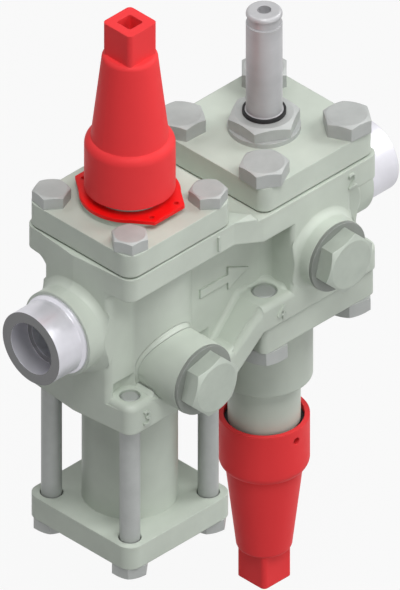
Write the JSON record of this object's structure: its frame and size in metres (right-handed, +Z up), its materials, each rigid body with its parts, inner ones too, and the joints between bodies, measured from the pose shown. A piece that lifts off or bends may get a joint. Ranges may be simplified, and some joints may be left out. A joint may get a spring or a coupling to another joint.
{
  "type": "refrigeration valve station",
  "caption": "Cast body that joins a stop valve, a filter, a solenoid valve and a hand regulating valve between two socket-weld pipe connections.",
  "frame": {"origin": "centre of the inlet connection's mouth", "axes": "+X along the flow from the inlet to the outlet, +Z up through the stop valve's cap, +Y away from the side plugs"},
  "size_m": [0.182, 0.0785, 0.2923],
  "materials": {
    "casting": "cast steel with a thin grey-green protective coat, satin",
    "machined_steel": "bare machined steel",
    "zinc_steel": "bright zinc plated steel",
    "cap_red": "moulded red plastic, semi-gloss",
    "tag_red": "bright red enamel on sheet metal",
    "black_seal": "rubber, matte",
    "fibre_gasket": "fibre gasket, matte",
    "white_seal": "white PTFE, matte",
    "gland_brass": "turned brass"
  },
  "bodies": {
    "station": {"valve_body": "casting", "inlet_connection": "machined_steel", "outlet_connection": "machined_steel", "stop_cover": "casting", "stop_gasket": "fibre_gasket", "stop_seat": "machined_steel", "stop_packing": "white_seal", "stop_gland_nut": "gland_brass", "tag_plate": "tag_red", "stop_bolt_1": "zinc_steel", "stop_bolt_2": "zinc_steel", "stop_bolt_3": "zinc_steel", "stop_bolt_4": "zinc_steel", "filter_housing": "casting", "filter_gasket": "fibre_gasket", "filter_strainer": "zinc_steel", "strainer_ring": "machined_steel", "filter_bolt_1": "zinc_steel", "filter_bolt_2": "zinc_steel", "filter_bolt_3": "zinc_steel", "filter_bolt_4": "zinc_steel", "solenoid_cover": "casting", "solenoid_gasket": "fibre_gasket", "solenoid_seat": "machined_steel", "piston_spring": "zinc_steel", "armature_tube": "zinc_steel", "armature_ring": "zinc_steel", "armature_nut": "zinc_steel", "armature_collar": "black_seal", "armature_spring": "zinc_steel", "solenoid_bolt_1": "zinc_steel", "solenoid_bolt_2": "zinc_steel", "solenoid_bolt_3": "zinc_steel", "solenoid_bolt_4": "zinc_steel", "regulator_bonnet": "casting", "regulator_gasket": "fibre_gasket", "regulator_seat": "machined_steel", "regulator_packing": "white_seal", "regulator_gland_nut": "gland_brass", "regulator_bolt_1": "zinc_steel", "regulator_bolt_2": "zinc_steel", "regulator_bolt_3": "zinc_steel", "regulator_bolt_4": "zinc_steel", "side_plug_a": "casting", "side_plug_b": "casting", "side_ring_a": "casting", "side_ring_b": "casting"},
    "stop_disc": {"stop_disc": "machined_steel", "stop_disc_seal": "white_seal"},
    "stop_spindle": {"stop_spindle": "machined_steel"},
    "stop_cap_seal": {"stop_cap_seal": "black_seal"},
    "stop_cap": {"stop_cap": "cap_red"},
    "main_piston": {"main_piston": "machined_steel", "piston_ring": "black_seal"},
    "armature": {"armature": "machined_steel"},
    "regulator_cone": {"regulator_cone": "machined_steel"},
    "regulator_spindle": {"regulator_spindle": "machined_steel"},
    "regulator_cap_seal": {"regulator_cap_seal": "black_seal"},
    "regulator_cap": {"regulator_cap": "cap_red"}
  },
  "joints": [
    {"name": "stop_disc_travel", "type": "slide", "parent": "station", "child": "stop_disc", "axis": [0, 0, 1], "range_m": [0, 0.008]},
    {"name": "stop_spindle_turn", "type": "hinge", "parent": "stop_disc", "child": "stop_spindle", "pos_m": [0.053, 0, 0.03], "axis": [0, 0, 1], "range_deg": [0, 1440]},
    {"name": "stop_cap_travel", "type": "slide", "parent": "station", "child": "stop_cap_seal", "axis": [0, 0, 1], "range_m": [0, 0.009]},
    {"name": "stop_cap_turn", "type": "hinge", "parent": "stop_cap_seal", "child": "stop_cap", "pos_m": [0.053, 0, 0.06], "axis": [0, 0, 1], "range_deg": [0, 2160]},
    {"name": "main_piston_travel", "type": "slide", "parent": "station", "child": "main_piston", "axis": [0, 0, 1], "range_m": [0, 0.005], "stiffness_N_per_m": 400, "springref_m": -0.01, "deforming": ["piston_spring"]},
    {"name": "armature_travel", "type": "slide", "parent": "station", "child": "armature", "axis": [0, 0, 1], "range_m": [0, 0.0025], "stiffness_N_per_m": 200, "springref_m": -0.006, "deforming": ["armature_spring"]},
    {"name": "regulator_cone_travel", "type": "slide", "parent": "station", "child": "regulator_cone", "axis": [0, 0, -1], "range_m": [0, 0.008]},
    {"name": "regulator_spindle_turn", "type": "hinge", "parent": "regulator_cone", "child": "regulator_spindle", "pos_m": [0.125, 0, -0.05], "axis": [0, 0, -1], "range_deg": [0, 1440]},
    {"name": "regulator_cap_travel", "type": "slide", "parent": "station", "child": "regulator_cap_seal", "axis": [0, 0, -1], "range_m": [0, 0.009]},
    {"name": "regulator_cap_turn", "type": "hinge", "parent": "regulator_cap_seal", "child": "regulator_cap", "pos_m": [0.125, 0, -0.1], "axis": [0, 0, -1], "range_deg": [0, 2160]}
  ],
  "couplings": [
    {"joint": "stop_spindle_turn", "follows": "stop_disc_travel", "rad_per_m": 3141.6},
    {"joint": "stop_cap_turn", "follows": "stop_cap_travel", "rad_per_m": 4188.8},
    {"joint": "regulator_spindle_turn", "follows": "regulator_cone_travel", "rad_per_m": 3141.6},
    {"joint": "regulator_cap_turn", "follows": "regulator_cap_travel", "rad_per_m": 4188.8}
  ]
}
